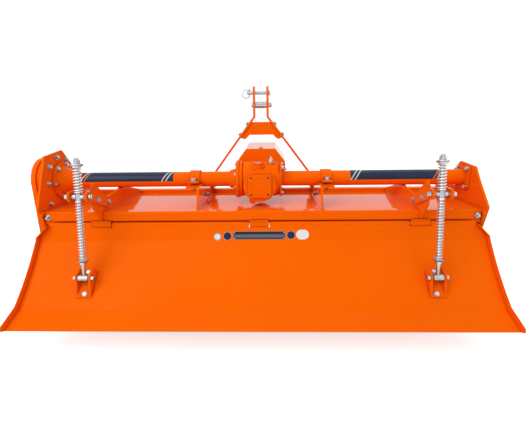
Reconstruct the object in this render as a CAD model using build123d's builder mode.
from build123d import *
import math
import os

# Rotary tiller of the two-metre class, carried on a tractor's three-point linkage and driven by its
# power take-off. A main tube carries the gearbox, a gear case at the left end takes the drive down to
# the bladed rotor, and a trailing board hinged on the rear beam is held by two sprung adjuster rods.
#
# Everything is drawn in millimetres about the main tube: X to the right as seen from behind, Y forward
# from the tube's axis, Z up from the ground. The last lines move the whole machine so that its origin
# is on the ground under the middle of its footprint.

# ---- driving dimensions ------------------------------------------------------------------------
WORKING_WIDTH = 2050.0      # between the side plates
PLATE = 10.0                # heavy plate: side plates, fins and hitch plates
SHEET = 4.0                 # deck, apron and trailing board
RUN = 0.05                  # radial clearance of a pin or shaft in its hole
SEAT = 0.3                  # gap of a clamp or a head to what it holds

TUBE_Z = 658.0              # main tube: height of its axis, radii
TUBE_R = 38.0
TUBE_BORE = 31.0

ROTOR_Z = 260.0             # rotor: height of its axis, radii
TIP_R = 245.0
ROTOR_TUBE_R = 44.5
HUB_R = 112.0               # blade flanges
FLANGE_COUNT = 8
BLADES_PER_FLANGE = 6

DECK_TOP = 537.0            # deck: height, rear and front edges
DECK_REAR = -209.0
DECK_FRONT = 262.0
REAR_BEAM = 44.0            # square tubes under the deck's two edges
FRONT_BEAM = 50.0
BEAM_WALL = 4.0

MAST_Y = 262.0              # mast: middle of its bars, heights of its pins, gap for the top link
MAST_GAP = 62.0
MAST_BAR = 12.0
MAST_WIDE = 70.0
MAST_TOP = 1126.0
MAST_BEND = 962.0
MAST_SPREAD = 0.755         # how far a leg spreads for each millimetre down
TOP_PIN_Z = 1093.0
TOP_PIN_R = 9.5
SPACER_Z = 1029.0

HITCH_X = 341.5             # lower link points
HITCH_Y = 352.0
HITCH_Z = 480.0
HITCH_GAP = 52.0
HITCH_PIN_R = 14.0          # through the bracket, and the stepped-down end outside it
HITCH_END_R = 11.0
HITCH_END = 58.0

INPUT_Z = 640.0             # power take-off shaft
INPUT_R = 17.45

ADJUSTER_X = 749.5          # sprung adjusters of the trailing board
PIVOT = (-372.0, 645.0)     # trunnion block, as (Y, Z)
BOARD_PIN = (-419.0, 299.0)  # pin of the rod's eye on the board
ROD_R = 9.0

HINGE = (-242.0, 487.0)     # trailing board's hinge axis
HINGE_ROD_R = 9.0

half = WORKING_WIDTH / 2
pieces = []


def keep(builder, label):
    """Names a finished piece and puts it on the list that is written at the end."""
    builder.part.label = label
    pieces.append(builder.part)


def across(x):
    """Sketch plane across the machine at x: its own x is Y forward and its own y is Z up."""
    return Plane(origin=(x, 0, 0), x_dir=(0, 1, 0), z_dir=(1, 0, 0))


def lengthwise(y):
    """Sketch plane facing the rear at y: its own x is X to the right and its own y is Z up."""
    return Plane(origin=(0, y, 0), x_dir=(1, 0, 0), z_dir=(0, -1, 0))


def turned_on(axis_y, axis_z):
    """Half section of a piece turned about an axis along X: its own x is X and its own y the radius."""
    return Plane(origin=(0, axis_y, axis_z), x_dir=(1, 0, 0), z_dir=(0, -1, 0))


tube_axis = Axis((0, 0, TUBE_Z), (1, 0, 0))
rotor_axis = Axis((0, 0, ROTOR_Z), (1, 0, 0))
input_axis = Axis((0, 0, INPUT_Z), (0, 1, 0))

# ---- gearbox -----------------------------------------------------------------------------------
BOX_LEFT = -88.0            # cast housing between its two flanges
BOX_RIGHT = 97.0
BOX_R = 88.0
RING_OUT = -119.0           # outer face of the left ring flange
RING_R = 96.0
REAR_FACE = -122.0          # rear bearing boss and its square cover
COVER = 112.0
COVER_T = 10.0
COVER_BOLTS = 81.0
NECK_END = 128.0            # front bearing neck
NECK_R = 66.0
BREATHER = (54.0, -40.0, 15.0)    # round bosses on top of the housing, as (X, Y, radius)
TOP_COVER = (-10.0, -52.0, 24.0)
COVER_PAD_R = 33.0
DRAIN = (-36.0, 567.0, 17.0)      # drain boss under the rear bearing, as (X, Z, radius)
DRAIN_END = -112.0
BEARING_R = 22.0            # seat of the input shaft in the front bearing
GUARD_REAR = 97.0           # rear face of the shaft guard, which seats on the neck's step

with BuildPart() as gearbox:
    with BuildSketch(turned_on(0, TUBE_Z)):
        with BuildLine():
            Polyline(
                (RING_OUT, 0), (RING_OUT, RING_R - 4), (RING_OUT + 4, RING_R), (-104, RING_R),
                (-104, RING_R - 6), (BOX_LEFT, RING_R - 6), (BOX_LEFT, BOX_R - 6), (-70, BOX_R),
                (BOX_RIGHT - 22, BOX_R), (BOX_RIGHT, BOX_R - 8), (BOX_RIGHT, 0), close=True)
        make_face()
    revolve(axis=tube_axis)
    with BuildSketch(lengthwise(0)):
        with Locations((0, INPUT_Z)):
            Circle(78)
    extrude(amount=-REAR_FACE)
    with BuildSketch(lengthwise(0)):
        with Locations((0, INPUT_Z)):
            Circle(NECK_R + 8)
    extrude(amount=-(GUARD_REAR - SEAT))
    with BuildSketch(lengthwise(0)):
        with Locations((0, INPUT_Z)):
            Circle(NECK_R)
    extrude(amount=-NECK_END)
    with BuildSketch(lengthwise(DRAIN_END)):
        with Locations(DRAIN[:2]):
            Circle(DRAIN[2])
    extrude(amount=-62)
    with BuildSketch(Plane.XY.offset(TUBE_Z)):
        for x, y, radius in (BREATHER, TOP_COVER):
            with Locations((x, y)):
                Circle(radius)
    extrude(amount=BOX_R - 1)
    with BuildSketch(Plane.XY.offset(TUBE_Z)):
        with Locations(TOP_COVER[:2]):
            Circle(COVER_PAD_R)
    extrude(amount=BOX_R - 13)
    with BuildSketch(lengthwise(REAR_FACE)):
        with Locations((0, INPUT_Z)):
            RectangleRounded(COVER, COVER, 20)
    extrude(amount=COVER_T)
    with BuildSketch(lengthwise(REAR_FACE - COVER_T)):
        with Locations((0, INPUT_Z)):
            Circle(41)
    extrude(amount=-1.5, mode=Mode.SUBTRACT)
    with BuildSketch(lengthwise(REAR_FACE - COVER_T)):
        with Locations((0, INPUT_Z)):
            with GridLocations(COVER_BOLTS, COVER_BOLTS, 2, 2):
                Circle(5)
    extrude(amount=-COVER_T, mode=Mode.SUBTRACT)
    # bore of the input shaft's front bearing
    with BuildSketch(lengthwise(NECK_END)):
        with Locations((0, INPUT_Z)):
            Circle(BEARING_R + RUN)
    extrude(amount=40, mode=Mode.SUBTRACT)
keep(gearbox, "gearbox")

SPLINES = 6
SPLINE_DEEP = 5.8           # twice the depth of a spline's groove, and its width
SPLINE_WIDE = 8.6
SPLINED = 92.0              # length of the splined end, and where it starts
SPLINE_START = NECK_END + 12
with BuildPart() as input_shaft:
    with BuildSketch(lengthwise(NECK_END - 38)):
        with Locations((0, INPUT_Z)):
            Circle(BEARING_R)
    extrude(amount=-50)
    with BuildSketch(lengthwise(SPLINE_START)):
        with Locations((0, INPUT_Z)):
            Circle(INPUT_R)
            with PolarLocations(INPUT_R + 0.4, SPLINES):
                Rectangle(SPLINE_DEEP, SPLINE_WIDE, mode=Mode.SUBTRACT)
    extrude(amount=-SPLINED)
    # ring groove that the coupling's locking pin drops into
    with BuildSketch(Plane(origin=(0, SPLINE_START + 60, INPUT_Z), x_dir=(1, 0, 0), z_dir=(0, 1, 0))):
        Circle(INPUT_R + 2)
        Circle(INPUT_R - 3.4, mode=Mode.SUBTRACT)
    extrude(amount=8, mode=Mode.SUBTRACT)
keep(input_shaft, "input_shaft")

# ---- main tube, in two halves ------------------------------------------------------------------
LEFT_FLANGE_R = 93.0
with BuildPart() as left_tube:
    with BuildSketch(turned_on(0, TUBE_Z)):
        with BuildLine():
            Polyline(
                (-half, TUBE_BORE), (-half, LEFT_FLANGE_R), (-half + 12, LEFT_FLANGE_R),
                (-half + 14, 72), (-half + 62, 46), (-half + 74, TUBE_R), (-160, TUBE_R),
                (-154, 44), (-128, 52), (RING_OUT, 52), (RING_OUT, TUBE_BORE), close=True)
        make_face()
    revolve(axis=tube_axis)
keep(left_tube, "main_tube_left")

RIGHT_FLANGE = 116.0
with BuildPart() as right_tube:
    with BuildSketch(turned_on(0, TUBE_Z)):
        with BuildLine():
            Polyline((BOX_RIGHT, TUBE_BORE), (BOX_RIGHT, TUBE_R), (half, TUBE_R), (half, TUBE_BORE),
                     close=True)
        make_face()
    revolve(axis=tube_axis)
    with BuildSketch(across(BOX_RIGHT)):
        with Locations((0, TUBE_Z)):
            RectangleRounded(150, 164, 30)
            Circle(TUBE_BORE, mode=Mode.SUBTRACT)
    extrude(amount=9)
    with BuildSketch(across(half - 12)):
        with Locations((0, TUBE_Z)):
            RectangleRounded(RIGHT_FLANGE, RIGHT_FLANGE, 18)
            Circle(TUBE_BORE, mode=Mode.SUBTRACT)
    extrude(amount=12)
keep(right_tube, "main_tube_right")

# ---- deck, beams and apron ---------------------------------------------------------------------
beam_rear = DECK_REAR - REAR_BEAM
beam_top = DECK_TOP + 12
beam_bottom = beam_top - REAR_BEAM
front_top = DECK_TOP + 20
front_bottom = front_top - FRONT_BEAM
front_face = DECK_FRONT + FRONT_BEAM

DECK_FOLD = 480.0           # foot of the deck's rear edge, folded down behind the beam
DECK_END = 10.0             # end plates of the deck, bolted to the side plates
deck_half = half - DECK_END
REAR_BEAM_HALF = 957.0

with BuildPart() as deck:
    with BuildSketch(across(-deck_half)):
        with BuildLine():
            Polyline((DECK_REAR, DECK_TOP), (DECK_FRONT, DECK_TOP), (DECK_FRONT, DECK_TOP - SHEET),
                     (DECK_REAR + SHEET, DECK_TOP - SHEET), (DECK_REAR + SHEET, DECK_FOLD),
                     (DECK_REAR, DECK_FOLD), close=True)
        make_face()
    extrude(amount=2 * deck_half)
keep(deck, "deck")

with BuildPart() as deck_ends:
    for side in (-1, 1):
        with BuildSketch(across(side * deck_half)):
            with BuildLine():
                FilletPolyline((-229, 525), (-216, DECK_TOP + SHEET), (DECK_FRONT, DECK_TOP + SHEET),
                               (DECK_FRONT, 472), (-212, 472), radius=[0, 8, 0, 0, 6], close=True)
            make_face()
        extrude(amount=side * DECK_END)
keep(deck_ends, "deck_end_plates")

with BuildPart() as rear_beam:
    with BuildSketch(across(-REAR_BEAM_HALF)):
        with Locations((DECK_REAR - REAR_BEAM / 2, beam_top - REAR_BEAM / 2)):
            RectangleRounded(REAR_BEAM, REAR_BEAM, 6)
            RectangleRounded(REAR_BEAM - 2 * BEAM_WALL, REAR_BEAM - 2 * BEAM_WALL, 2,
                             mode=Mode.SUBTRACT)
    extrude(amount=2 * REAR_BEAM_HALF)
keep(rear_beam, "rear_beam")

with BuildPart() as front_beam:
    with BuildSketch(across(-half)):
        with Locations((DECK_FRONT + FRONT_BEAM / 2, front_top - FRONT_BEAM / 2)):
            RectangleRounded(FRONT_BEAM, FRONT_BEAM, 6)
            RectangleRounded(FRONT_BEAM - 2 * BEAM_WALL, FRONT_BEAM - 2 * BEAM_WALL, 2,
                             mode=Mode.SUBTRACT)
    extrude(amount=WORKING_WIDTH)
keep(front_beam, "front_beam")

with BuildPart() as apron:
    with BuildSketch(across(-half)):
        with BuildLine():
            FilletPolyline((front_face - 40, front_bottom - SHEET), (front_face - 12, front_bottom - SHEET),
                           (front_face + 22, front_bottom - 88), (front_face + 40, front_bottom - 96),
                           radius=8)
            offset(amount=SHEET, side=Side.LEFT)
        make_face()
    extrude(amount=WORKING_WIDTH)
keep(apron, "front_apron")

# ---- side plates -------------------------------------------------------------------------------
# Corners as (Y, Z, corner radius), round from the rear top. The lower half is the same on both sides.
LOWER_PLATE = (
    (332, 470, 30), (320, 330, 60), (262, 130, 70), (160, 92, 40), (-140, 92, 30), (-196, 150, 40),
    (-190, 420, 60), (-206, 470, 10))
LEFT_PLATE = ((-233, 556, 8), (-124, 792, 10), (30, 811, 10), (101, 736, 20), (312, 580, 40)) + LOWER_PLATE
RIGHT_PLATE = (
    (-233, 554, 8), (-131, 664, 16), (-88, 720, 14), (54, 732, 14), (112, 683, 30),
    (312, 580, 40)) + LOWER_PLATE
SHAFT_HOLE = 44.0


def rounded_outline(corners):
    """Closed outline through (Y, Z, corner radius) rows."""
    FilletPolyline(*[(y, z) for y, z, _ in corners], radius=[r for _, _, r in corners], close=True)


def side_plate(x, corners):
    with BuildPart() as plate:
        with BuildSketch(across(x)):
            with BuildLine():
                rounded_outline(corners)
            make_face()
            with Locations((0, ROTOR_Z)):
                Circle(SHAFT_HOLE, mode=Mode.SUBTRACT)
        extrude(amount=PLATE)
    return plate


left_plate = side_plate(-half - PLATE, LEFT_PLATE)
keep(left_plate, "side_plate_left")
right_plate = side_plate(half, RIGHT_PLATE)
keep(right_plate, "side_plate_right")

# ---- gear case on the left ---------------------------------------------------------------------
CASE_IN = -half - PLATE
CASE_DEEP = 70.0
CASE_TOP_R = 118.0
CASE_LOW_R = 108.0
CASE_LID = 10.0
STUB_LEFT_R = 30.0          # rotor's drive stub in the case
STUB_LEFT = CASE_IN - 26


def case_outline(grow):
    """Egg-shaped outline round the two shafts of the case."""
    with Locations((0, TUBE_Z)):
        Circle(CASE_TOP_R + grow)
    with Locations((0, ROTOR_Z)):
        Circle(CASE_LOW_R + grow)
    make_hull()


with BuildPart() as gear_case:
    with BuildSketch(across(CASE_IN)):
        case_outline(-8)
    extrude(amount=-CASE_DEEP)
    with BuildSketch(across(CASE_IN - CASE_DEEP)):
        case_outline(0)
    extrude(amount=12)
    with BuildSketch(across(CASE_IN)):
        with Locations((0, ROTOR_Z)):
            Circle(STUB_LEFT_R + RUN)
    extrude(amount=-28, mode=Mode.SUBTRACT)
keep(gear_case, "gear_case")

lid_in = CASE_IN - CASE_DEEP
with BuildPart() as gear_case_lid:
    with BuildSketch(across(lid_in)):
        case_outline(0)
    extrude(amount=-CASE_LID)
    with BuildSketch(across(lid_in - CASE_LID)):
        with Locations((0, TUBE_Z)):
            Circle(64)
        with Locations((0, ROTOR_Z)):
            Circle(70)
    extrude(amount=-8, taper=20)
    fillet(gear_case_lid.faces().filter_by(Axis.X).sort_by(Axis.X)[1].outer_wire().edges(), 4)
keep(gear_case_lid, "gear_case_lid")

# ---- rotor bearing on the right ----------------------------------------------------------------
STUB_RIGHT_R = 27.5
STUB_RIGHT = half + PLATE + 28
with BuildPart() as rotor_bearing:
    with BuildSketch(turned_on(0, ROTOR_Z)):
        with BuildLine():
            Polyline(
                (half + PLATE, STUB_RIGHT_R + RUN), (half + PLATE, 78), (half + PLATE + 12, 78),
                (half + PLATE + 12, 56), (half + PLATE + 34, 50), (half + PLATE + 42, 36),
                (half + PLATE + 42, 0), (half + PLATE + 29, 0), (half + PLATE + 29, STUB_RIGHT_R + RUN),
                close=True)
        make_face()
    revolve(axis=rotor_axis)
keep(rotor_bearing, "rotor_bearing")

# ---- skids -------------------------------------------------------------------------------------
SOLE = 8.0
SOLE_WIDE = 64.0
with BuildPart() as skids:
    for side in (-1, 1):
        plate_out = side * (half + PLATE)
        with BuildSketch(across(plate_out)):
            with BuildLine():
                FilletPolyline((-214, 34), (-186, 0), (170, 0), (262, 96), (262, 150), radius=24)
                offset(amount=SOLE, side=Side.LEFT)
            make_face()
        extrude(amount=side * SOLE_WIDE)
        with BuildSketch(across(plate_out)):
            with BuildLine():
                Polyline((-182, 6), (166, 6), (256, 100), (256, 196), (188, 196), (176, 118), (-104, 118),
                         (-112, 196), (-182, 196), close=True)
            make_face()
        extrude(amount=side * 8)
keep(skids, "skids")

# ---- rotor -------------------------------------------------------------------------------------
END_DISC = half - 40
flange_pitch = 2 * (half - 60) / (FLANGE_COUNT - 1)
flange_places = [-(half - 60) + i * flange_pitch for i in range(FLANGE_COUNT)]
FLANGE_T = 12.0
BLADE_T = 8.0
BLADE_ROOT = 62.0           # where a blade starts, from the rotor's axis
BLADE_WIDE = 76.0
BLADE_SECTOR = 60.0         # part of a turn that a blade's outline lies in
WING = 108.0                # how far the bent tip reaches sideways
BEND_R = 22.0
TWIST = 12.0                # each flange is turned this far on from the one before

with BuildPart() as rotor_tube:
    with BuildSketch(turned_on(0, ROTOR_Z)):
        with BuildLine():
            Polyline(
                (STUB_LEFT, 0), (STUB_LEFT, STUB_LEFT_R), (-END_DISC - 14, STUB_LEFT_R),
                (-END_DISC - 14, 72), (-END_DISC, 72), (-END_DISC, ROTOR_TUBE_R),
                (END_DISC, ROTOR_TUBE_R), (END_DISC, 66), (END_DISC + 12, 66),
                (END_DISC + 12, STUB_RIGHT_R), (STUB_RIGHT, STUB_RIGHT_R), (STUB_RIGHT, 0), close=True)
        make_face()
    revolve(axis=rotor_axis)
    for x in flange_places:
        with BuildSketch(across(x - FLANGE_T / 2)):
            with Locations((0, ROTOR_Z)):
                Circle(HUB_R)
        extrude(amount=FLANGE_T)
keep(rotor_tube, "rotor_tube")


def blade(x, hand, angle):
    """One blade on the flange at x: hand +1 bends to the right, -1 to the left; angle turns it round."""
    face = x + hand * FLANGE_T / 2
    middle = math.radians(BLADE_SECTOR / 2)
    side_view = Plane(
        origin=(face - hand, 0, ROTOR_Z), x_dir=(0, math.cos(middle), math.sin(middle)), z_dir=(1, 0, 0))
    with BuildPart() as strip:
        # an L turned about the rotor's axis: a flat leg, the bend, and a wing that follows the tip circle
        with BuildSketch(Plane(origin=(face, 0, ROTOR_Z), x_dir=(hand, 0, 0), z_dir=(0, -hand, 0))):
            with BuildLine():
                FilletPolyline((0, BLADE_ROOT), (0, TIP_R), (WING, TIP_R), radius=BEND_R)
                offset(amount=BLADE_T, side=Side.RIGHT)
            make_face()
        revolve(axis=rotor_axis, revolution_arc=BLADE_SECTOR)
        # cut to the sickle outline seen from the side, swept back from the way the rotor turns
        with BuildSketch(side_view):
            with BuildLine():
                Line((-26, BLADE_ROOT - 4), (26, BLADE_ROOT - 4))
                ThreePointArc((26, BLADE_ROOT - 4), (22, 150), (-22, TIP_R + 1))
                Line((-22, TIP_R + 1), (-BLADE_WIDE, TIP_R + 1))
                ThreePointArc((-BLADE_WIDE, TIP_R + 1), (-44, 168), (-26, BLADE_ROOT - 4))
            make_face()
        extrude(amount=hand * (WING + 4), mode=Mode.INTERSECT)
    return strip.part.rotate(rotor_axis, angle)


left_blades = []
right_blades = []
for i, x in enumerate(flange_places):
    for k in range(BLADES_PER_FLANGE):
        hand = 1 if k % 2 else -1
        if i == 0:
            hand = 1
        if i == FLANGE_COUNT - 1:
            hand = -1
        turn = 360 * k / BLADES_PER_FLANGE + TWIST * i
        (right_blades if hand > 0 else left_blades).append(blade(x, hand, turn))

with BuildPart() as blades_left:
    add(left_blades)
keep(blades_left, "left_hand_blades")
with BuildPart() as blades_right:
    add(right_blades)
keep(blades_right, "right_hand_blades")

# ---- mast and three-point hitch ----------------------------------------------------------------
WEB_IN = 288.0              # hitch side plates standing on the deck
mast_half_gap = MAST_GAP / 2
foot_in = WEB_IN - MAST_BAR
foot_bend = MAST_BEND - (foot_in - mast_half_gap) / MAST_SPREAD
foot_end = front_top + 4


def leg_inner(z):
    """Inner face of a mast leg at height z."""
    return mast_half_gap + (MAST_BEND - z) * MAST_SPREAD


def mast_bar(side):
    """One bar of the mast; side is +1 on the right and -1 on the left."""
    with BuildPart() as bar:
        with BuildSketch(lengthwise(MAST_Y - MAST_WIDE / 2)):
            with BuildLine():
                FilletPolyline(
                    (side * mast_half_gap, MAST_TOP), (side * mast_half_gap, MAST_BEND),
                    (side * foot_in, foot_bend), (side * foot_in, foot_end), radius=14)
                offset(amount=MAST_BAR, side=Side.LEFT if side > 0 else Side.RIGHT)
            make_face()
        extrude(amount=-MAST_WIDE)
        top = bar.faces().sort_by(Axis.Z)[-1]
        chamfer(top.edges().filter_by(Axis.X), 18)
        with BuildSketch(across(side * mast_half_gap)):
            with Locations((MAST_Y, TOP_PIN_Z)):
                Circle(TOP_PIN_R + RUN)
            with Locations((MAST_Y, SPACER_Z)):
                Circle(8 + RUN)
        extrude(amount=side * (MAST_BAR + 1), mode=Mode.SUBTRACT)
    return bar


keep(mast_bar(-1), "mast_bar_left")
keep(mast_bar(1), "mast_bar_right")

CROSS_TOP = 937.0
CROSS_LOW = 868.0
CROSS_EAR = 850.0
CROSS_T = 8.0
cross_y = MAST_Y - MAST_WIDE / 2 + 6
flange_slip = CROSS_T * math.hypot(1, MAST_SPREAD)
with BuildPart() as cross_plate:
    with BuildSketch(lengthwise(cross_y)):
        with BuildLine():
            Polyline(
                (-leg_inner(CROSS_TOP), CROSS_TOP), (leg_inner(CROSS_TOP), CROSS_TOP),
                (leg_inner(CROSS_EAR), CROSS_EAR), (leg_inner(CROSS_EAR) - 34, CROSS_EAR),
                (leg_inner(CROSS_LOW) - 36, CROSS_LOW), (-leg_inner(CROSS_LOW) + 36, CROSS_LOW),
                (-leg_inner(CROSS_EAR) + 34, CROSS_EAR), (-leg_inner(CROSS_EAR), CROSS_EAR),
                close=True)
        make_face()
    extrude(amount=-CROSS_T)
    for side in (-1, 1):
        with BuildSketch(lengthwise(cross_y)):
            with BuildLine():
                Polyline(
                    (side * leg_inner(CROSS_TOP), CROSS_TOP),
                    (side * leg_inner(CROSS_EAR), CROSS_EAR),
                    (side * (leg_inner(CROSS_EAR) - flange_slip), CROSS_EAR),
                    (side * (leg_inner(CROSS_TOP) - flange_slip), CROSS_TOP), close=True)
            make_face()
        extrude(amount=-48)
keep(cross_plate, "mast_cross_plate")

bar_out = mast_half_gap + MAST_BAR
with BuildPart() as top_pin:
    with BuildSketch(turned_on(MAST_Y, TOP_PIN_Z)):
        with BuildLine():
            Polyline(
                (-bar_out - 33, 0), (-bar_out - 33, TOP_PIN_R - 2), (-bar_out - 31, TOP_PIN_R),
                (bar_out + SEAT, TOP_PIN_R), (bar_out + SEAT, 14), (bar_out + 8, 14),
                (bar_out + 8, 0), close=True)
        make_face()
    revolve(axis=Axis((0, MAST_Y, TOP_PIN_Z), (1, 0, 0)))
    with BuildSketch(Plane(origin=(-bar_out - 20, MAST_Y, TOP_PIN_Z), x_dir=(1, 0, 0), z_dir=(0, 0, 1))):
        Circle(3)
    extrude(amount=TOP_PIN_R + 1, both=True, mode=Mode.SUBTRACT)
keep(top_pin, "top_link_pin")

with BuildPart() as spacer:
    with BuildSketch(turned_on(MAST_Y, SPACER_Z)):
        with BuildLine():
            Polyline(
                (-bar_out - 9, 0), (-bar_out - 9, 12), (-bar_out - SEAT, 12), (-bar_out - SEAT, 8),
                (-mast_half_gap + SEAT, 8), (-mast_half_gap + SEAT, 17.5),
                (mast_half_gap - SEAT, 17.5), (mast_half_gap - SEAT, 8), (bar_out + SEAT, 8),
                (bar_out + SEAT, 13), (bar_out + 14, 13), (bar_out + 14, 8), (bar_out + 18, 8),
                (bar_out + 18, 0), close=True)
        make_face()
    revolve(axis=Axis((0, MAST_Y, SPACER_Z), (1, 0, 0)))
keep(spacer, "mast_spacer")

STRAP_IN = 304.0            # clamps of the main tube
STRAP_OUT = 355.0
STRAP_T = 8.0
EAR_END = 85.0
EAR_TOP = 658.0
LUG_TOP = 640.0
with BuildPart() as hitch_plates:
    for side in (-1, 1):
        with BuildSketch(across(side * WEB_IN)):
            with BuildLine():
                Polyline(
                    (-190, DECK_TOP), (DECK_FRONT, DECK_TOP), (DECK_FRONT, front_top), (304, front_top),
                    (304, 648), (232, 648), (206, 592), (140, 590), (EAR_END, 628), (EAR_END, LUG_TOP),
                    (-138, LUG_TOP), (-150, 628), close=True)
            make_face()
            with Locations((0, TUBE_Z)):
                Circle(TUBE_R + SEAT, mode=Mode.SUBTRACT)
        extrude(amount=side * PLATE)
        for low, high in ((-138, -44), (44, EAR_END)):
            with BuildSketch(across(side * (WEB_IN + PLATE))):
                with BuildLine():
                    Polyline((low, LUG_TOP), (high, LUG_TOP), (high, LUG_TOP - STRAP_T),
                             (low, LUG_TOP - STRAP_T), close=True)
                make_face()
            extrude(amount=side * (STRAP_OUT - WEB_IN - PLATE))
keep(hitch_plates, "hitch_side_plates")

with BuildPart() as clamps:
    for side in (-1, 1):
        with BuildSketch(across(side * STRAP_IN)):
            with BuildLine():
                Line((-EAR_END, EAR_TOP - STRAP_T), (-EAR_END, EAR_TOP))
                Line((-EAR_END, EAR_TOP), (-TUBE_R - STRAP_T, EAR_TOP))
                ThreePointArc((-TUBE_R - STRAP_T, EAR_TOP), (0, TUBE_Z + TUBE_R + STRAP_T),
                              (TUBE_R + STRAP_T, EAR_TOP))
                Line((TUBE_R + STRAP_T, EAR_TOP), (EAR_END, EAR_TOP))
                Line((EAR_END, EAR_TOP), (EAR_END, EAR_TOP - STRAP_T))
                Line((EAR_END, EAR_TOP - STRAP_T), (-EAR_END, EAR_TOP - STRAP_T))
            make_face()
            with Locations((0, TUBE_Z)):
                Circle(TUBE_R + SEAT, mode=Mode.SUBTRACT)
        extrude(amount=side * (STRAP_OUT - STRAP_IN))
keep(clamps, "tube_clamps")

# lower link brackets on the front beam: a back plate and two ears round each pin
bracket_in = HITCH_X - HITCH_GAP / 2 - PLATE
bracket_out = HITCH_X + HITCH_GAP / 2 + PLATE
EAR_R = 32.0
with BuildPart() as hitch_brackets:
    for side in (-1, 1):
        with BuildSketch(across(side * bracket_in)):
            with BuildLine():
                Polyline((front_face, front_top - 4), (front_face, front_bottom + 2),
                         (HITCH_Y, HITCH_Z - EAR_R), (HITCH_Y, HITCH_Z + EAR_R),
                         (front_face + 14, front_top - 4), close=True)
            make_face()
            with Locations((HITCH_Y, HITCH_Z)):
                Circle(EAR_R)
                Circle(HITCH_PIN_R + RUN, mode=Mode.SUBTRACT)
        extrude(amount=side * (bracket_out - bracket_in))
        with BuildSketch(across(side * (bracket_in + PLATE))):
            with Locations((front_face + PLATE + 60, HITCH_Z)):
                Rectangle(120, 200)
        extrude(amount=side * HITCH_GAP, mode=Mode.SUBTRACT)
keep(hitch_brackets, "lower_hitch_brackets")

PIN_HEAD_R = 20.0
PIN_HEAD = 8.0
PIN_COLLAR = 12.0           # collar outside the bracket, where the stepped-down end starts
PIN_TIP = 2.0
end_root = bracket_out + SEAT + PIN_COLLAR
with BuildPart() as hitch_pins:
    for side in (-1, 1):
        with BuildSketch(turned_on(HITCH_Y, HITCH_Z)):
            with BuildLine():
                Polyline(
                    (side * (bracket_in - SEAT - PIN_HEAD), 0),
                    (side * (bracket_in - SEAT - PIN_HEAD), PIN_HEAD_R),
                    (side * (bracket_in - SEAT), PIN_HEAD_R), (side * (bracket_in - SEAT), HITCH_PIN_R),
                    (side * (bracket_out + SEAT), HITCH_PIN_R), (side * (bracket_out + SEAT), PIN_HEAD_R),
                    (side * end_root, PIN_HEAD_R), (side * end_root, HITCH_END_R),
                    (side * (end_root + HITCH_END), HITCH_END_R),
                    (side * (end_root + HITCH_END + PIN_TIP), HITCH_END_R - PIN_TIP),
                    (side * (end_root + HITCH_END + PIN_TIP), 0), close=True)
            make_face()
        revolve(axis=Axis((0, HITCH_Y, HITCH_Z), (1, 0, 0)))
        # hole of the linchpin that keeps a link on the pin's end
        with BuildSketch(Plane.XY.offset(HITCH_Z)):
            with Locations((side * (end_root + HITCH_END - 9), HITCH_Y)):
                Circle(3.5)
        extrude(amount=HITCH_END_R + 1, both=True, mode=Mode.SUBTRACT)
keep(hitch_pins, "lower_hitch_pins")

# ---- guard over the power take-off shaft -------------------------------------------------------
GUARD_LONG = 281.0
GUARD_T = 3.0
GUARD_RISE = 0.06           # how far the roof rises for each millimetre forward
GUARD_TOP = 801.0
GUARD_SHOULDER = 734.0
GUARD_LOW = 604.0
GUARD_ROOF = 77.0           # half widths of the roof and of the sides
GUARD_SIDE = 128.0
guard_way = (0, 1, GUARD_RISE)

with BuildPart() as guard:
    with BuildSketch(lengthwise(GUARD_REAR)):
        with BuildLine():
            Polyline(
                (-GUARD_SIDE, GUARD_LOW), (-GUARD_SIDE, GUARD_SHOULDER), (-GUARD_ROOF, GUARD_TOP),
                (GUARD_ROOF, GUARD_TOP), (GUARD_SIDE, GUARD_SHOULDER), (GUARD_SIDE, GUARD_LOW))
            offset(amount=GUARD_T, side=Side.RIGHT)
        make_face()
    extrude(amount=GUARD_LONG, dir=guard_way)
    with BuildSketch(lengthwise(GUARD_REAR)):
        with BuildLine():
            Polyline(
                (-GUARD_SIDE, GUARD_LOW), (-GUARD_SIDE, GUARD_SHOULDER), (-GUARD_ROOF, GUARD_TOP),
                (GUARD_ROOF, GUARD_TOP), (GUARD_SIDE, GUARD_SHOULDER), (GUARD_SIDE, GUARD_LOW),
                (-GUARD_SIDE, GUARD_LOW))
        make_face()
        with Locations((0, INPUT_Z)):
            Circle(NECK_R + RUN, mode=Mode.SUBTRACT)
    extrude(amount=-GUARD_T)
keep(guard, "shaft_guard")

# ---- trailing board ----------------------------------------------------------------------------
BOARD_HALF = 1018.0
TAB_PLACES = (-724.0, 0.0, 724.0)
TAB_WIDE = 86.0
TAB_R = 17.0
EYE_R = 13.0
HINGE_HALF = 960.0
CORNER_TOP = (944.0, 520.0)  # the board's top corners are cut off along this line, as (X, Z)
CORNER_LOW = (1018.0, 440.0)
NOTCH_SIDE = 4.0            # clear space round each tab
RIM = 25.0
hinge_y, hinge_z = HINGE
hinge_axis = Axis((0, hinge_y, hinge_z), (1, 0, 0))
board_top = (hinge_y - EYE_R + 1, hinge_z - 2)
FOLD_HIGH = (-273.0, 419.0)
CURVE_MID = (-376.0, 289.0)
FOLD_LOW = (-484.0, 183.0)
LIP = (-578.0, 145.0)


def board_skin():
    """Rear face of the board, from its hinge down to its lip."""
    Line(board_top, FOLD_HIGH)
    ThreePointArc(FOLD_HIGH, CURVE_MID, FOLD_LOW)
    Line(FOLD_LOW, LIP)


lip_fall = math.atan2(LIP[1] - FOLD_LOW[1], LIP[0] - FOLD_LOW[0])
rim_end = (LIP[0] + math.sin(lip_fall) * RIM / 2, LIP[1] - math.cos(lip_fall) * RIM / 2)


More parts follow.
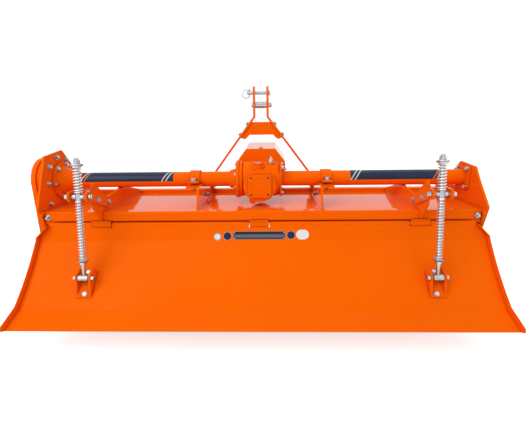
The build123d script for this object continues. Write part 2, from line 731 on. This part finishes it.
def corner_rim(side):
    """Rim that carries on along the cut top corner of the board."""
    across_x = (CORNER_LOW[1] - CORNER_TOP[1]) / math.dist(CORNER_TOP, CORNER_LOW) * SHEET
    across_z = (CORNER_TOP[0] - CORNER_LOW[0]) / math.dist(CORNER_TOP, CORNER_LOW) * SHEET
    with BuildPart() as rim:
        with BuildSketch(lengthwise(hinge_y)):
            with BuildLine():
                Polyline(
                    (side * CORNER_TOP[0], CORNER_TOP[1]), (side * CORNER_LOW[0], CORNER_LOW[1]),
                    (side * (CORNER_LOW[0] + across_x), CORNER_LOW[1] + across_z),
                    (side * (CORNER_TOP[0] + across_x), CORNER_TOP[1] + across_z), close=True)
            make_face()
        extrude(amount=60, both=True)
        with BuildSketch(across(-BOARD_HALF)):
            with BuildLine():
                board_skin()
                offset(amount=RIM, side=Side.RIGHT)
            make_face()
        extrude(amount=2 * BOARD_HALF, mode=Mode.INTERSECT)
    return rim.part


with BuildPart() as board:
    with BuildSketch(across(-BOARD_HALF)):
        with BuildLine():
            board_skin()
            offset(amount=SHEET, side=Side.LEFT)
        make_face()
    extrude(amount=2 * BOARD_HALF)
    # rims standing up along both sides, with a round end past the lip
    for side in (-1, 1):
        with BuildSketch(across(side * BOARD_HALF)):
            with BuildLine():
                board_skin()
                offset(amount=RIM, side=Side.RIGHT)
            make_face()
            with Locations(rim_end):
                Circle(RIM / 2)
        extrude(amount=-side * SHEET)
    # rolled edge round the hinge rod
    with BuildSketch(across(-BOARD_HALF)):
        with Locations(HINGE):
            Circle(EYE_R)
    extrude(amount=2 * BOARD_HALF)
    # cut-outs round the three hinge tabs
    for x in TAB_PLACES:
        with BuildSketch(across(x)):
            with Locations(HINGE):
                Circle(TAB_R + NOTCH_SIDE)
        extrude(amount=TAB_WIDE / 2 + NOTCH_SIDE, both=True, mode=Mode.SUBTRACT)
    with BuildSketch(across(-BOARD_HALF)):
        with Locations(HINGE):
            Circle(HINGE_ROD_R + RUN)
    extrude(amount=2 * BOARD_HALF, mode=Mode.SUBTRACT)
    # top corners, clear of the deck's end plates
    for side in (-1, 1):
        with BuildSketch(lengthwise(hinge_y)):
            with BuildLine():
                Polyline(
                    (side * CORNER_TOP[0], CORNER_TOP[1]), (side * CORNER_LOW[0], CORNER_LOW[1]),
                    (side * (CORNER_LOW[0] + 2), CORNER_LOW[1]),
                    (side * (CORNER_LOW[0] + 2), CORNER_TOP[1]), close=True)
            make_face()
        extrude(amount=60, both=True, mode=Mode.SUBTRACT)
        add(corner_rim(side))
keep(board, "trailing_board")

with BuildPart() as hinge_rod:
    with BuildSketch(across(-HINGE_HALF)):
        with Locations(HINGE):
            Circle(HINGE_ROD_R)
    extrude(amount=2 * HINGE_HALF)
keep(hinge_rod, "hinge_rod")

with BuildPart() as tabs:
    for x in TAB_PLACES:
        with BuildSketch(across(x - TAB_WIDE / 2)):
            with Locations(HINGE):
                Circle(TAB_R)
            with BuildLine():
                Polyline((hinge_y - TAB_R, hinge_z), (hinge_y - TAB_R, beam_bottom),
                         (hinge_y + TAB_R, beam_bottom), (hinge_y + TAB_R, hinge_z), close=True)
            make_face()
            with Locations(HINGE):
                Circle(HINGE_ROD_R + RUN, mode=Mode.SUBTRACT)
        extrude(amount=TAB_WIDE)
keep(tabs, "hinge_tabs")

# ---- adjusters ---------------------------------------------------------------------------------
FIN_IN = 716.0
FORK_HALF = 33.5            # from the adjuster's middle to the inner faces of its fork
FORK_T = 8.0
BLOCK_R = 10.0              # trunnion bar, and its boss round the rod
BLOCK_HALF = 24.5
BOSS_R = 14.0
BOSS_HALF = 13.0
TRUNNION_R = 7.0
TRUNNION_HEAD_R = 11.0
TRUNNION_HEAD = 11.0
EYE_OUT = 15.0              # cross tube at the rod's foot
EYE_DRIFT = 2.4             # clearance that lets the eye wander on its pin
EYE_HALF = 20.5
NECK = (5.8, 24.0, 54.0)    # rod's neck: radius above the eye, and where its taper starts and ends
BOARD_PIN_R = 8.0
UPPER_SPRING = (18.0, 5.5)  # springs, as (outer radius, wire)
LOWER_SPRING = (15.5, 4.5)
CUP_R = 25.5
CUP_LIP = 4.0
CUP_FOOT = 16.0             # depth of the lower cup's cone
LOW_CUP = -273.0            # along the rod from the pivot: lower cup, upper cup and rod's end
HIGH_CUP = 132.0
ROD_END = 161.0
NUT_FLAT = 13.0             # from the middle to a flat
NUT = 16.0

pivot_y, pivot_z = PIVOT
pin_y, pin_z = BOARD_PIN
rod_reach = math.hypot(pin_y - pivot_y, pin_z - pivot_z)
rod_up = (0, (pivot_y - pin_y) / rod_reach, (pivot_z - pin_z) / rod_reach)


def along_rod(x, distance):
    """Plane square to the rod, that far above the pivot."""
    return Plane(
        origin=(x, pivot_y + rod_up[1] * distance, pivot_z + rod_up[2] * distance),
        x_dir=(1, 0, 0), z_dir=rod_up)


def beside_rod(x):
    """Half section of a piece turned about the rod: its own x is the radius and its own y runs up."""
    return Plane(origin=(x, pivot_y, pivot_z), x_dir=(1, 0, 0), z_dir=(0, -rod_up[2], rod_up[1]))


def spring(x, low, high, outer, wire):
    """Sleeve that takes a coil spring's room, between two distances from the pivot."""
    with BuildPart() as coil:
        with BuildSketch(along_rod(x, low)):
            Circle(outer)
            Circle(outer - wire, mode=Mode.SUBTRACT)
        extrude(amount=high - low)
    return coil


with BuildPart() as fins:
    for side in (-1, 1):
        with BuildSketch(across(side * FIN_IN)):
            with BuildLine():
                FilletPolyline(
                    (beam_rear, beam_bottom), (-322, 585), (-322, 668), (-298, 692), (-278, 680),
                    (-188, 604), (-34, TUBE_Z - TUBE_R - SEAT), (34, TUBE_Z - TUBE_R - SEAT), (208, 574),
                    (DECK_FRONT, front_top - 2), (DECK_FRONT, DECK_TOP), (DECK_REAR, DECK_TOP),
                    (DECK_REAR, beam_top), (beam_rear, beam_top),
                    radius=[0, 10, 20, 8, 6, 14, 4, 4, 20, 0, 0, 0, 0, 0], close=True)
            make_face()
        extrude(amount=side * PLATE)
        with BuildSketch(across(side * FIN_IN)):
            with Locations((DECK_REAR - REAR_BEAM / 2, beam_top - REAR_BEAM / 2)):
                Rectangle(REAR_BEAM, REAR_BEAM)
        extrude(amount=side * PLATE, mode=Mode.SUBTRACT)
keep(fins, "adjuster_fins")

FORK_REAR = -393.0
FORK_WEB = -330.0
with BuildPart() as forks:
    for side in (-1, 1):
        inner = side * (ADJUSTER_X - FORK_HALF)
        outer = side * (ADJUSTER_X + FORK_HALF)
        with BuildSketch(across(inner)):
            with BuildLine():
                FilletPolyline(
                    (FORK_REAR, pivot_z - 22), (FORK_REAR, pivot_z + 22), (-300, pivot_z + 20),
                    (-186, 604), (-172, 582), (-196, 562), (-300, 598), (-345, pivot_z - 22),
                    radius=[18, 18, 20, 10, 12, 12, 20, 20], close=True)
            make_face()
            with Locations(PIVOT):
                Circle(TRUNNION_R + RUN, mode=Mode.SUBTRACT)
        extrude(amount=-side * FORK_T)
        with BuildSketch(across(outer)):
            with BuildLine():
                FilletPolyline(
                    (FORK_REAR, pivot_z - 22), (FORK_REAR, pivot_z + 22), (FORK_WEB, pivot_z + 22),
                    (FORK_WEB, pivot_z - 22), radius=[18, 18, 0, 0], close=True)
            make_face()
            with Locations(PIVOT):
                Circle(TRUNNION_R + RUN, mode=Mode.SUBTRACT)
        extrude(amount=side * FORK_T)
        with BuildSketch(across(inner - side * FORK_T)):
            with Locations((FORK_WEB - FORK_T / 2, pivot_z)):
                Rectangle(FORK_T, 44)
        extrude(amount=side * (2 * FORK_HALF + 2 * FORK_T))
keep(forks, "adjuster_forks")

# the pin's clevis on the board: a base that follows the board's curve and two ears
CLEVIS_HALF = 25.0
with BuildPart() as clevises:
    for side in (-1, 1):
        x = side * ADJUSTER_X
        with BuildSketch(across(x)):
            with BuildLine():
                FilletPolyline(
                    (-362, 306), (-384, 332), (pin_y - 14, pin_z + 16), (pin_y - 16, pin_z - 12),
                    (-446, 220), radius=[6, 18, 18])
                Line((-446, 220), (-362, 306))
            make_face()
        extrude(amount=CLEVIS_HALF + FORK_T, both=True)
        with BuildSketch(across(x)):
            with BuildLine():
                Polyline((-358, 322), (-340, 360), (-500, 360), (-500, 222), (-448, 228), close=True)
            make_face()
        extrude(amount=CLEVIS_HALF, both=True, mode=Mode.SUBTRACT)
        with BuildSketch(across(x)):
            with Locations(BOARD_PIN):
                Circle(BOARD_PIN_R + RUN)
        extrude(amount=CLEVIS_HALF + FORK_T + 1, both=True, mode=Mode.SUBTRACT)
    # nothing of a clevis reaches into the board's sheet
    with BuildSketch(across(-BOARD_HALF)):
        with BuildLine():
            board_skin()
            offset(amount=60, side=Side.LEFT)
        make_face()
    extrude(amount=2 * BOARD_HALF, mode=Mode.SUBTRACT)
keep(clevises, "board_clevises")

BOARD_PIN_HEAD_R = 12.0
BOARD_PIN_HEAD = 8.0
BOARD_PIN_NUT = 12.0
pin_half = CLEVIS_HALF + FORK_T + SEAT
with BuildPart() as board_pins:
    for side in (-1, 1):
        with BuildSketch(Plane(
                origin=(side * ADJUSTER_X, pin_y, pin_z), x_dir=(side, 0, 0), z_dir=(0, -side, 0))):
            with BuildLine():
                Polyline(
                    (pin_half + BOARD_PIN_HEAD, 0), (pin_half + BOARD_PIN_HEAD, BOARD_PIN_HEAD_R),
                    (pin_half, BOARD_PIN_HEAD_R), (pin_half, BOARD_PIN_R), (-pin_half, BOARD_PIN_R),
                    (-pin_half, BOARD_PIN_HEAD_R), (-pin_half - BOARD_PIN_NUT, BOARD_PIN_HEAD_R),
                    (-pin_half - BOARD_PIN_NUT, 0), close=True)
            make_face()
        revolve(axis=Axis((0, pin_y, pin_z), (1, 0, 0)))
keep(board_pins, "board_pins")

head_in = FORK_HALF + FORK_T + SEAT
head_out = head_in + TRUNNION_HEAD
for name, side in (("left", -1), ("right", 1)):
    x = side * ADJUSTER_X

    with BuildPart() as block:
        with BuildSketch(Plane(origin=(x, pivot_y, pivot_z), x_dir=(1, 0, 0), z_dir=(0, -1, 0))):
            with BuildLine():
                Polyline(
                    (-head_out, 0), (-head_out, TRUNNION_HEAD_R), (-head_in, TRUNNION_HEAD_R),
                    (-head_in, TRUNNION_R), (-BLOCK_HALF, TRUNNION_R), (-BLOCK_HALF, BLOCK_R - 2),
                    (-BLOCK_HALF + 2, BLOCK_R), (BLOCK_HALF - 2, BLOCK_R), (BLOCK_HALF, BLOCK_R - 2),
                    (BLOCK_HALF, TRUNNION_R), (head_in, TRUNNION_R), (head_in, TRUNNION_HEAD_R),
                    (head_out, TRUNNION_HEAD_R), (head_out, 0), close=True)
            make_face()
        revolve(axis=Axis((x, pivot_y, pivot_z), (1, 0, 0)))
        with BuildSketch(along_rod(x, 0)):
            Circle(BOSS_R)
        extrude(amount=BOSS_HALF, both=True)
        with BuildSketch(along_rod(x, 0)):
            Circle(ROD_R + RUN)
        extrude(amount=BOSS_HALF + 1, both=True, mode=Mode.SUBTRACT)
    keep(block, f"{name}_trunnion_block")

    with BuildPart() as rod:
        with BuildSketch(beside_rod(x)):
            with BuildLine():
                Polyline(
                    (0, -rod_reach), (NECK[0], -rod_reach), (NECK[0], -rod_reach + NECK[1]),
                    (ROD_R, -rod_reach + NECK[2]), (ROD_R, ROD_END - 2), (ROD_R - 2, ROD_END),
                    (0, ROD_END), close=True)
            make_face()
        revolve(axis=Axis((x, pivot_y, pivot_z), rod_up))
        with BuildSketch(across(x)):
            with Locations(BOARD_PIN):
                Circle(EYE_OUT)
        extrude(amount=EYE_HALF, both=True)
        with BuildSketch(across(x)):
            with Locations(BOARD_PIN):
                Circle(BOARD_PIN_R + EYE_DRIFT)
        extrude(amount=EYE_HALF + 1, both=True, mode=Mode.SUBTRACT)
    keep(rod, f"{name}_adjuster_rod")

    with BuildPart() as cups:
        with BuildSketch(beside_rod(x)):
            with BuildLine():
                Polyline(
                    (ROD_R, LOW_CUP - CUP_FOOT), (ROD_R + 4, LOW_CUP - CUP_FOOT),
                    (ROD_R + 6, LOW_CUP - 6), (CUP_R, LOW_CUP + 2), (CUP_R, LOW_CUP + CUP_LIP),
                    (CUP_R - 5, LOW_CUP), (ROD_R, LOW_CUP), close=True)
            make_face()
            with BuildLine():
                Polyline(
                    (ROD_R, HIGH_CUP), (CUP_R - 5, HIGH_CUP), (CUP_R, HIGH_CUP - CUP_LIP),
                    (CUP_R, HIGH_CUP - 2), (ROD_R + 6, HIGH_CUP + 6), (ROD_R, HIGH_CUP + 6), close=True)
            make_face()
        revolve(axis=Axis((x, pivot_y, pivot_z), rod_up))
        with BuildSketch(along_rod(x, HIGH_CUP + 6)):
            RegularPolygon(NUT_FLAT, 6, major_radius=False)
            Circle(ROD_R, mode=Mode.SUBTRACT)
        extrude(amount=NUT)
    keep(cups, f"{name}_spring_cups")

    keep(spring(x, LOW_CUP + SEAT, -BOSS_HALF - SEAT, *LOWER_SPRING), f"{name}_lower_spring")
    keep(spring(x, BOSS_HALF + SEAT, HIGH_CUP - SEAT, *UPPER_SPRING), f"{name}_upper_spring")

# ---- place on the ground and write -------------------------------------------------------------
# The origin goes to the middle of the footprint, rounded to a whole millimetre.
boxes = [piece.bounding_box() for piece in pieces]
middle_x = round((min(b.min.X for b in boxes) + max(b.max.X for b in boxes)) / 2)
middle_y = round((min(b.min.Y for b in boxes) + max(b.max.Y for b in boxes)) / 2)
ground = min(b.min.Z for b in boxes)
print("origin moved to", middle_x, middle_y, round(ground, 3))

os.makedirs("parts", exist_ok=True)
for piece in pieces:
    label = piece.label
    placed = piece.moved(Location((-middle_x, -middle_y, -ground)))
    placed.label = label
    export_step(placed, f"parts/{label}.step")
